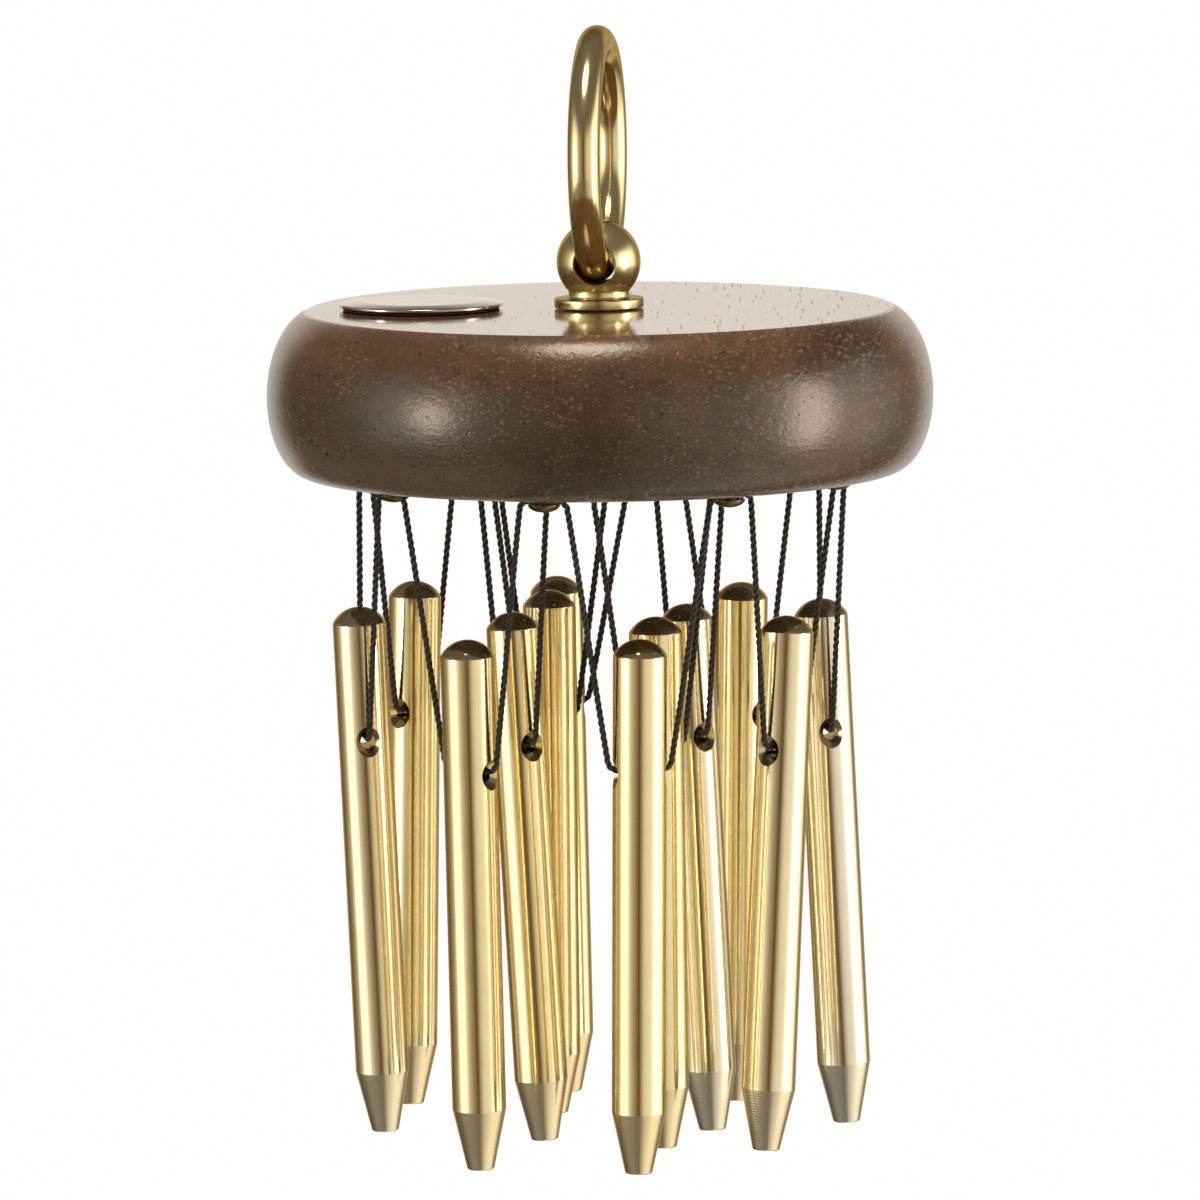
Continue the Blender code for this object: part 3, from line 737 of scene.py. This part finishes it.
def glue_material():
    """The dark foam adhesive under the badge."""
    material, tree, shader = new_material("adhesive", roughness=0.8)
    foam = noise(tree, in_millimetres(tree), *FOAM_NOISE)
    tree.links.new(blend(tree, foam, GLUE, scaled(GLUE, GLUE_LIGHT)), shader.inputs["Base Color"])
    set_bump(tree, shader, foam, strength=0.4, distance=RELIEF)
    return material


# Shapes


def filleted(corners):
    """A profile whose corners, given as radius, height and an optional round, are rounded."""
    points = [Vector(c[:2]) for c in corners]
    made = [points[0]]
    for before, here, after, corner in zip(points, points[1:], points[2:], corners[1:]):
        back = (before - here).normalized()
        on = (after - here).normalized()
        if len(corner) < 3:
            made.append(here)
            continue
        half = back.angle(on) / 2
        run = corner[2] / tan(half)
        centre = here + (back + on).normalized() * corner[2] / sin(half)
        start = here + run * back - centre
        end = here + run * on - centre
        for i in range(FILLET_STEPS + 1):
            share = i / FILLET_STEPS
            made.append(centre + corner[2] * start.slerp(end, share))
    return [tuple(p) for p in made + [points[-1]]]


def arc(radius, height, size, first, last, steps):
    """Profile points on a circle round a profile point, between two angles from the radius axis."""
    angles = [first + (last - first) * i / steps for i in range(steps + 1)]
    return [(radius + size * cos(a), height + size * sin(a)) for a in angles]


def turned(name, profile, segments, closed=False):
    """A mesh turned about Z. A radius may be a function of the angle about Z."""
    bm = bmesh.new()
    angles = [2 * pi * i / segments for i in range(segments)]
    rings = []
    for radius, z in profile:
        if radius == 0:
            rings.append([bm.verts.new((0, 0, z))])
            continue
        ring = []
        for angle in angles:
            reach = radius(angle) if callable(radius) else radius
            ring.append(bm.verts.new(on_circle(reach, angle, z)))
        rings.append(ring)
    pairs = list(zip(rings, rings[1:]))
    if closed:
        pairs.append((rings[-1], rings[0]))
    for lower, upper in pairs:
        for i in range(segments):
            j = (i + 1) % segments
            below = [lower[i % len(lower)], lower[j % len(lower)]]
            above = [upper[j % len(upper)], upper[i % len(upper)]]
            bm.faces.new(dict.fromkeys(below + above))
    bmesh.ops.recalc_face_normals(bm, faces=bm.faces)
    return to_mesh(name, bm)


def to_mesh(name, bm):
    """A mesh with smooth shading and its real edges kept sharp."""
    mesh = bpy.data.meshes.new(name)
    bm.to_mesh(mesh)
    bm.free()
    return shade(mesh)


def shade(mesh):
    """Smooth shading, with edges over SHARP_ANGLE kept sharp."""
    mesh.shade_smooth()
    mesh.set_sharp_from_angle(angle=SHARP_ANGLE)
    return mesh


def cut(mesh, cutters):
    """Cut away each cutter mesh, given with its place, and return the new mesh."""
    objects = []
    for part, place in [(mesh, Matrix()), *cutters]:
        made = bpy.data.objects.new("cut", part)
        made.matrix_world = place
        bpy.context.scene.collection.objects.link(made)
        objects.append(made)
    for tool in objects[1:]:
        step = objects[0].modifiers.new("cut", "BOOLEAN")
        step.operation = "DIFFERENCE"
        step.solver = "EXACT"
        step.object = tool
    graph = bpy.context.evaluated_depsgraph_get()
    result = bpy.data.meshes.new_from_object(objects[0].evaluated_get(graph))
    for thing in objects:
        bpy.data.objects.remove(thing, do_unlink=True)
    return shade(result)


def dress(node, mesh, material, place=None):
    """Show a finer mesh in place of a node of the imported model, on the body that carries it."""
    piece = bpy.data.objects.new("fine_" + node, mesh)
    bpy.context.scene.collection.objects.link(piece)
    mesh.materials.clear()
    mesh.materials.append(material)
    piece.matrix_world = place or Matrix()
    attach(piece, BODY_OF[node])
    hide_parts(node)
    return piece


def make_ring(material):
    """The hanging ring, a round wire bent into a circle."""
    wire = arc(RING_CENTRE_RADIUS, 0, RING_WIRE_RADIUS, 0, 2 * pi, WIRE_SIDES)[:-1]
    low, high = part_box("hanging_ring")
    place = frame_of(RING_AXIS, UP.cross(RING_AXIS), (low + high) / 2)
    mesh = turned("ring", wire, RING_SIDES, closed=True)
    dress("hanging_ring", mesh, material, place)


def make_eye(material):
    """Ball, neck, flange and stud in one piece, with the ring's hole across the ball."""
    stud_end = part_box("eye_post")[0].z - DISC_TOP_Z
    neck_angle = -acos(NECK_RADIUS / BALL_RADIUS)
    ball = arc(0, BALL_CENTRE_HEIGHT, BALL_RADIUS, neck_angle, pi / 2, BALL_STEPS)
    profile = filleted([
        (0, stud_end),
        (STUD_RADIUS, stud_end, EDGE_ROUND),
        (STUD_RADIUS, FIT_GAP),
        (FLANGE_RADIUS, FIT_GAP, EDGE_ROUND),
        (FLANGE_RADIUS, FLANGE_HEIGHT, FLANGE_ROUND),
        (NECK_RADIUS, FLANGE_HEIGHT, NECK_ROUND),
        ball[0],
    ])
    profile += [*ball[1:-1], (0, BALL_CENTRE_HEIGHT + BALL_RADIUS)]
    mouth = sqrt(BALL_RADIUS**2 - BALL_HOLE_RADIUS**2)
    wide = BALL_HOLE_RADIUS + BALL_RADIUS - mouth + HOLE_MOUTH_FLARE
    spool = [(0, -BALL_RADIUS), (wide, -BALL_RADIUS), (BALL_HOLE_RADIUS, HOLE_MOUTH_FLARE - mouth)]
    spool += [(r, -z) for r, z in reversed(spool)]
    across = frame_of(UP.cross(RING_AXIS), RING_AXIS, Vector((0, 0, BALL_CENTRE_HEIGHT)))
    mesh = cut(turned("eye", profile, EYE_SIDES), [(turned("spool", spool, EYE_HOLE_SIDES), across)])
    dress("eye_post", mesh, material, Matrix.Translation((0, 0, DISC_TOP_Z)))


def make_washer(material):
    """The washer under the disc, with rounded edges."""
    upper = [(STUD_BORE, 0), (WASHER_RADIUS, 0)]
    corners = [*upper, (WASHER_RADIUS, -WASHER_THICKNESS), (STUD_BORE, -WASHER_THICKNESS)]
    ring = [(*corner, EDGE_ROUND) for corner in corners]
    profile = filleted([corners[-1], *ring, corners[0]])[1:-1]
    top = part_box("eye_washer")[1].z
    mesh = turned("washer", profile, WASHER_SIDES, closed=True)
    dress("eye_washer", mesh, material, Matrix.Translation((0, 0, top)))


def make_nut(material):
    """The hexagon nut, its corners chamfered at both faces."""
    flat = NUT_ACROSS_FLATS / 2
    chamfer = flat * (1 / cos(pi / 6) - 1)

    def hexagon(limit):
        return lambda angle: min(limit, flat / cos((angle + pi / 6) % (pi / 3) - pi / 6))

    falls = (0, chamfer / 4, chamfer / 2)
    outer = []
    for depth in (*falls, *(NUT_HEIGHT - fall for fall in reversed(falls))):
        rise = 2 * min(depth, NUT_HEIGHT - depth)
        outer.append((hexagon(flat + rise), -depth))
    mouth = STUD_BORE + EDGE_ROUND
    profile = [(STUD_BORE, -NUT_HEIGHT + EDGE_ROUND), (STUD_BORE, -EDGE_ROUND), (mouth, 0)]
    profile += [*outer, (mouth, -NUT_HEIGHT)]
    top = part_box("eye_nut")[1].z
    mesh = turned("nut", profile, NUT_SIDES, closed=True)
    dress("eye_nut", mesh, material, Matrix.Translation((0, 0, top)))


def disc_profile():
    """The disc's half section from the bore, over the top and the belly, to the counterbore."""
    roof = COUNTERBORE_DEPTH - DISC_THICKNESS
    belly = [(DISC_TOP_FLAT_RADIUS - FLAT_MARGIN, 0)]
    for i in range(DISC_STEPS + 1):
        angle = DISC_ARRIS_SLOPE + (pi / 2 - DISC_ARRIS_SLOPE) * i / DISC_STEPS
        across = (sin(angle) - sin(DISC_ARRIS_SLOPE)) / (1 - sin(DISC_ARRIS_SLOPE))
        down = 1 - cos(angle) / cos(DISC_ARRIS_SLOPE)
        radius = DISC_TOP_FLAT_RADIUS + (DISC_RADIUS - DISC_TOP_FLAT_RADIUS) * across
        belly.append((radius, -DISC_BELLY_DROP * down))
    for i in range(1, DISC_STEPS + 1):
        angle = pi / 2 * i / DISC_STEPS
        radius = DISC_BOTTOM_FLAT_RADIUS + (DISC_RADIUS - DISC_BOTTOM_FLAT_RADIUS) * cos(angle)
        belly.append((radius, -DISC_BELLY_DROP - (DISC_THICKNESS - DISC_BELLY_DROP) * sin(angle)))
    pocket = COUNTERBORE_RADIUS
    inner = [(pocket, -DISC_THICKNESS, EDGE_ROUND), (pocket, roof), (STUD_BORE, roof), (STUD_BORE, 0)]
    return [*belly, *filleted([belly[-1], *inner])[1:]]


def screw_places():
    """Each cord screw's suffix, its angle about the chime, half its ring's pitch and its place."""
    for ring, count in RING_COUNTS.items():
        for i in range(count):
            low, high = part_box(f"cord_screw_{ring}_{i + 1}")
            spot = (low + high) / 2
            seat = Vector((spot.x, spot.y, HEAD_SEAT_Z))
            yield f"{ring}_{i + 1}", atan2(spot.y, spot.x), pi / count, seat


def make_disc(material):
    """The turned disc with a pilot hole for each screw."""
    radius = SHANK_RADIUS + FIT_GAP
    depth = SCREW_LENGTH + FIT_GAP
    pilot = turned("pilot", [(0, -depth), (radius, -depth), (radius, depth), (0, depth)], PILOT_SIDES)
    holes = []
    for _, _, _, spot in screw_places():
        holes.append((pilot.copy(), Matrix.Translation((spot.x, spot.y, -DISC_THICKNESS))))
    mesh = cut(turned("disc", disc_profile(), DISC_SIDES, closed=True), holes)
    dress("wooden_disc", mesh, material, Matrix.Translation((0, 0, DISC_TOP_Z)))


def make_badge(plate_material, pad_material):
    """The bare round plate and the adhesive pad under it."""
    rim = BADGE_THICKNESS - BADGE_BEVEL
    crown = BADGE_RADIUS - BADGE_ROLL
    plate = filleted([
        (0, 0),
        (BADGE_RADIUS, 0, EDGE_ROUND / 2),
        (BADGE_RADIUS, rim, BADGE_EDGE_ROUND),
        (crown, BADGE_THICKNESS, BADGE_CROWN_ROUND),
        (crown - FLAT_MARGIN, BADGE_THICKNESS),
        (0, BADGE_THICKNESS),
    ])
    pad = filleted([
        (0, 0),
        (PAD_RADIUS, 0, PAD_THICKNESS / 4),
        (PAD_RADIUS, PAD_THICKNESS, PAD_THICKNESS / 4),
        (0, PAD_THICKNESS),
    ])
    for node, profile, material, slot in (
        ("badge_plate", plate, plate_material, "badge_metal"),
        ("badge_pad", pad, pad_material, "adhesive"),
    ):
        low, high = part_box(node)
        middle = (low + high) / 2
        place = Matrix.Translation((middle.x, middle.y, low.z))
        dress(node, turned(node, profile, BADGE_SIDES), material, place)


def screw_mesh():
    """A wood screw with a slotted round head below, its head seat at height zero."""
    tip = SCREW_LENGTH + UNDERSIDE_Z - HEAD_SEAT_Z
    shoulder = UNDERSIDE_Z - HEAD_SEAT_Z
    core = SHANK_RADIUS - THREAD_DEPTH

    def ridge(z):
        taper = min(1, (tip - z) / SCREW_POINT_LENGTH)
        return lambda angle: taper * (core + THREAD_DEPTH * tooth(z / THREAD_PITCH - angle / (2 * pi)))

    rows = round((tip - shoulder) / THREAD_PITCH * THREAD_ROWS)
    profile = [(0, tip)]
    for i in range(rows - 1, 0, -1):
        z = shoulder + (tip - shoulder) * i / rows
        profile.append((ridge(z), z))
    profile += [(SHANK_RADIUS, shoulder), (SHANK_RADIUS, 0)]
    head = arc(0, 0, 1, 0, pi / 2, SCREW_HEAD_STEPS)
    profile += [(SCREW_HEAD_RADIUS * x, -SCREW_HEAD_HEIGHT * y) for x, y in head[:-1]]
    profile.append((0, -SCREW_HEAD_HEIGHT))
    slot = bmesh.new()
    bmesh.ops.create_cube(slot, size=1)
    size = Vector((3 * SCREW_HEAD_RADIUS, SLOT_WIDTH, 2 * SLOT_DEPTH))
    place = Matrix.Translation((0, 0, -SCREW_HEAD_HEIGHT)) @ Matrix.Diagonal((*size, 1))
    bmesh.ops.transform(slot, matrix=place, verts=slot.verts)
    return cut(turned("screw", profile, SCREW_SIDES), [(to_mesh("slot", slot), Matrix())])


def tooth(turns):
    """The height of a thread, one at its crest and zero at its root, at a count of turns."""
    return max(0, 1 - abs(turns % 1 - 0.5) * THREAD_STEEPNESS)


def make_screws(material):
    """The screws under the disc, their slots left at any angle."""
    blank = screw_mesh()
    for i, (suffix, angle, _, spot) in enumerate(screw_places()):
        place = Matrix.Translation(spot) @ Matrix.Rotation(angle + SLOT_TURN * i, 4, "Z")
        dress(f"cord_screw_{suffix}", blank.copy(), material, place)


def peg_mesh():
    """A turned peg with a domed top, a countersunk cross hole and a cone foot."""
    dome = (PEG_RADIUS**2 + PEG_DOME_HEIGHT**2) / (2 * PEG_DOME_HEIGHT)
    rim = pi / 2 - asin(PEG_RADIUS / dome)
    cap = arc(0, PEG_APEX - dome, dome, pi / 2, rim, DOME_STEPS)
    body = filleted([
        cap[-2],
        (*cap[-1], PEG_SHOULDER_ROUND),
        (PEG_RADIUS, HOLE_ROOM_ABOVE),
        (PEG_RADIUS, -HOLE_ROOM_BELOW),
        (PEG_RADIUS, PEG_FOOT + PEG_CONE_LENGTH, EDGE_ROUND / 2),
        (PEG_TIP_RADIUS, PEG_FOOT, PEG_TIP_ROUND),
        (0, PEG_FOOT),
    ])
    profile = [(0, PEG_APEX), *cap[1:-2], *body]
    sink = PEG_RADIUS - PEG_COUNTERSINK_RADIUS + PEG_HOLE_RADIUS
    wide = PEG_HOLE_RADIUS + 2 * PEG_RADIUS - sink
    spool = [(0, -2 * PEG_RADIUS), (wide, -2 * PEG_RADIUS), (PEG_HOLE_RADIUS, -sink)]
    spool += [(r, -z) for r, z in reversed(spool)]
    across = frame_of(UP, Vector((1, 0, 0)), Vector((0, 0, -PEG_CORD_SEAT)))
    return cut(turned("peg", profile, PEG_SIDES), [(turned("spool", spool, CROSS_HOLE_SIDES), across)])


def peg_names():
    """Every peg's suffix with its ring and its number in it."""
    for ring, count in RING_COUNTS.items():
        for i in range(count):
            yield f"{ring}_{i + 1}", ring, i


def make_pegs():
    """The twelve pegs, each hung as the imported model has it."""
    blank = peg_mesh()
    for suffix, ring, i in peg_names():
        swing = JOINTS[f"peg_swing_{suffix}"]
        seat = Vector(swing["pos_m"])
        corners = frame["nodes"][f"peg_{suffix}"].data.vertices
        apex = max((corner.co for corner in corners), key=lambda point: point.z)
        axis = (apex - seat).normalized()
        hole = -Vector(swing["axis"])
        hole = (hole - hole.dot(axis) * axis).normalized()
        material = peg_material(f"peg_brass_{suffix}", PEG_TONES[ring][i])
        dress(f"peg_{suffix}", blank.copy(), material, frame_of(hole, axis, seat))


# Cords


def smooth_points(route):
    """Points about one step apart on one smooth curve through the route's points."""
    ends = [2 * route[0] - route[1], *route, 2 * route[-1] - route[-2]]
    points = [route[0]]
    for before, start, end, after in zip(ends, ends[1:], ends[2:], ends[3:]):
        reach = (end - start).length / 3
        leave = start + reach * (end - before).normalized()
        arrive = end - reach * (after - start).normalized()
        count = max(1, round(3 * reach / CORD_STEP))
        points += interpolate_bezier(start, leave, arrive, end, count + 1)[1:]
    return points


def rounded(start, along, towards):
    """The middle and the end of a bend that leaves start along one direction for another."""
    angle = along.angle(towards)
    square = (towards - towards.dot(along) * along).normalized()
    return [
        start + CORD_BEND_RADIUS * (sin(a) * along + (1 - cos(a)) * square) for a in (angle / 2, angle)
    ]


def half_loop(middle, reach, side, seat, hole_axis):
    """The route from a screw's clamp, down one strand and into the peg's hole."""
    end = middle + reach * side
    knee = end - CORD_END_RUN * side
    mouth = seat + (PEG_RADIUS - CORD_MOUTH_DEPTH) * hole_axis
    strand = (mouth - knee).normalized()
    top = rounded(knee, -side, strand)
    bottom = rounded(mouth, hole_axis, -strand)
    return [end, knee, *top, *reversed(bottom), mouth]


def twisted(name, points):
    """Plies laid round each other along a centreline, as one mesh with closed ends."""
    lay_radius = PLY_RADIUS / sin(pi / CORD_PLIES)
    bm = bmesh.new()
    square = (points[1] - points[0]).orthogonal().normalized()
    travelled = 0.0
    rows = [[] for _ in range(CORD_PLIES)]
    for i, point in enumerate(points):
        before = points[max(0, i - 1)]
        after = points[min(len(points) - 1, i + 1)]
        along = (after - before).normalized()
        square = (square - square.dot(along) * along).normalized()
        other = along.cross(square)
        travelled += (point - before).length
        for k, row in enumerate(rows):
            turn = 2 * pi * (travelled / CORD_LAY + k / CORD_PLIES)
            centre = point + lay_radius * (cos(turn) * square + sin(turn) * other)
            ring = []
            for j in range(PLY_SIDES):
                angle = turn + 2 * pi * j / PLY_SIDES
                ring.append(bm.verts.new(centre + PLY_RADIUS * (cos(angle) * square + sin(angle) * other)))
            row.append(ring)
    for row in rows:
        for lower, upper in zip(row, row[1:]):
            for j in range(PLY_SIDES):
                n = (j + 1) % PLY_SIDES
                bm.faces.new((lower[j], lower[n], upper[n], upper[j]))
        bm.faces.new(row[0][::-1])
        bm.faces.new(row[-1])
    bmesh.ops.recalc_face_normals(bm, faces=bm.faces)
    return to_mesh(name, bm)


def make_turn(suffix, angle, half, spot, material):
    """The clamped bend of cord round the outer side of a screw, under its head."""
    centre = Vector((spot.x, spot.y, CORD_Z))
    bend = [centre + on_circle(CORD_WRAP_RADIUS, angle + turn) for turn in (-half, 0, half)]
    before = on_circle(CLAMP_REACH, angle - half - pi / 2)
    after = on_circle(CLAMP_REACH, angle + half + pi / 2)
    route = [bend[0] + before, *bend, bend[-1] + after]
    node = f"cord_turn_{suffix}"
    return dress(node, twisted(node, smooth_points(route)), material)


def make_loop(suffix, ring, material):
    """One hanging loop of cord, from screw to screw through the peg's hole."""
    swing = JOINTS[f"loop_swing_{suffix}"]
    middle = Vector(swing["pos_m"])
    side = -Vector(swing["axis"])
    seat = Vector(JOINTS[f"peg_swing_{suffix}"]["pos_m"])
    hole_axis = -Vector(JOINTS[f"peg_swing_{suffix}"]["axis"])
    chord = (middle.xy.length - CORD_WRAP_RADIUS) * tan(pi / RING_COUNTS[ring])
    reach = chord - CLAMP_REACH - FIT_GAP
    left = half_loop(middle, reach, -side, seat, -hole_axis)
    right = half_loop(middle, reach, side, seat, hole_axis)
    points = smooth_points([*left, seat, *reversed(right)])
    node = f"cord_loop_{suffix}"
    loop = dress(node, twisted(node, points), material)


def make_cords(material):
    """Every bend under a screw and the loop that hangs from it."""
    for suffix, angle, half, spot in screw_places():
        make_turn(suffix, angle, half, spot, material)
    for suffix, ring, _ in peg_names():
        make_loop(suffix, ring, material)


def main():
    """Dress the chime and set it in the studio."""
    make_studio()
    make_cords(cord_material())
    make_ring(brass_material("ring_brass", RING_GOLD, *RING_FINISH))
    make_eye(brass_material("eye_brass", RING_GOLD, *EYE_FINISH, BALL_HOLE_RADIUS))
    fasteners = brass_material("fastener_brass", BRONZE, *FASTENER_FINISH)
    make_washer(fasteners)
    make_nut(fasteners)
    make_disc(wood_material())
    make_badge(badge_material(), glue_material())
    make_screws(fasteners)
    make_pegs()


main()
